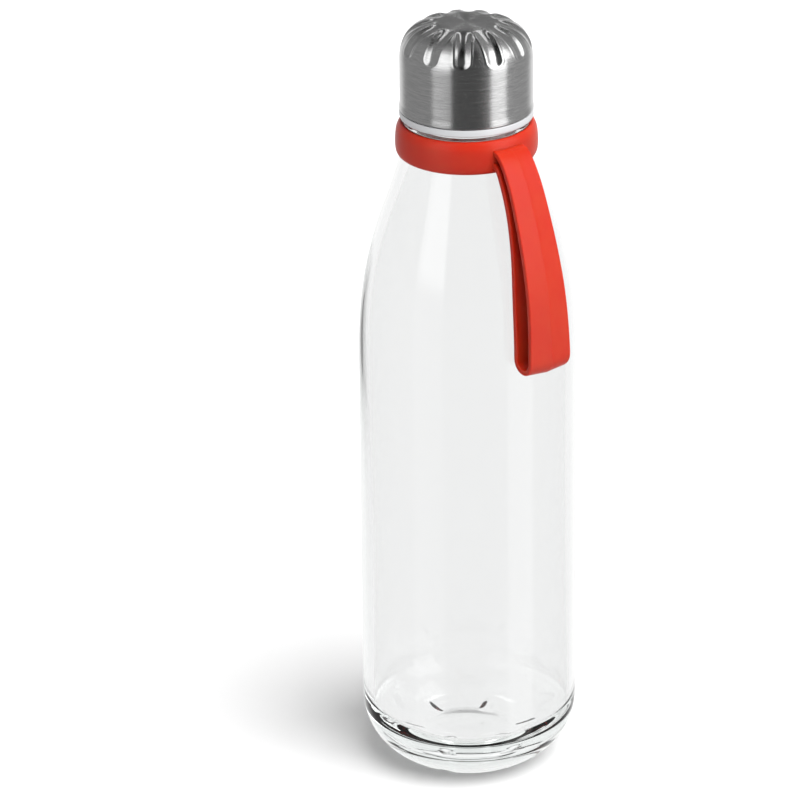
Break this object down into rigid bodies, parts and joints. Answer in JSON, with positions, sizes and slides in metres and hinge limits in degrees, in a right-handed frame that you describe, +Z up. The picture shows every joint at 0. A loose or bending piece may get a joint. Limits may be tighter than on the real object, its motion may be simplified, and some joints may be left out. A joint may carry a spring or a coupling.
{
  "type": "glass water bottle",
  "caption": "Clear glass water bottle with a long shoulder, a fluted brushed-steel screw cap, and a silicone neck collar with a hanging carrying loop.",
  "frame": {"origin": "centre of the base on the surface that the bottle stands on", "axes": "+Z up along the bottle's axis; the carrying loop hangs halfway between +X and -Y"},
  "size_m": [0.0739, 0.0739, 0.263],
  "materials": {
    "clear_glass": "clear polished soda-lime glass with a faint green-grey tint in the thick base",
    "brushed_steel": "stainless steel spun and brushed round its axis, satin",
    "white_plastic": "moulded translucent white polypropylene",
    "clear_silicone": "translucent silicone seal",
    "red_silicone": "moulded silicone, soft satin, with fine parting lines"
  },
  "bodies": {
    "bottle": {"glass_bottle": "clear_glass"},
    "seal": {"cap_gasket": "clear_silicone"},
    "cap": {"cap_shell": "brushed_steel", "cap_liner": "white_plastic"},
    "collar": {"neck_collar": "red_silicone"},
    "strap": {"carry_strap": "red_silicone"}
  },
  "joints": [
    {"name": "cap_lift", "type": "slide", "parent": "bottle", "child": "seal", "axis": [0, 0, 1], "range_m": [0, 0.03]},
    {"name": "cap_turn", "type": "hinge", "parent": "seal", "child": "cap", "pos_m": [0, 0, 0.24], "axis": [0, 0, 1], "range_deg": [0, 900]},
    {"name": "collar_turn", "type": "hinge", "parent": "bottle", "child": "collar", "pos_m": [0, 0, 0.2236], "axis": [0, 0, 1], "continuous": true},
    {"name": "strap_swing", "type": "hinge", "parent": "collar", "child": "strap", "pos_m": [0.0181, -0.0181, 0.2224], "axis": [-0.7071, -0.7071, 0], "range_deg": [0, 130]}
  ],
  "couplings": [
    {"joint": "cap_lift", "follows": "cap_turn", "m_per_rad": 0.0019099}
  ]
}
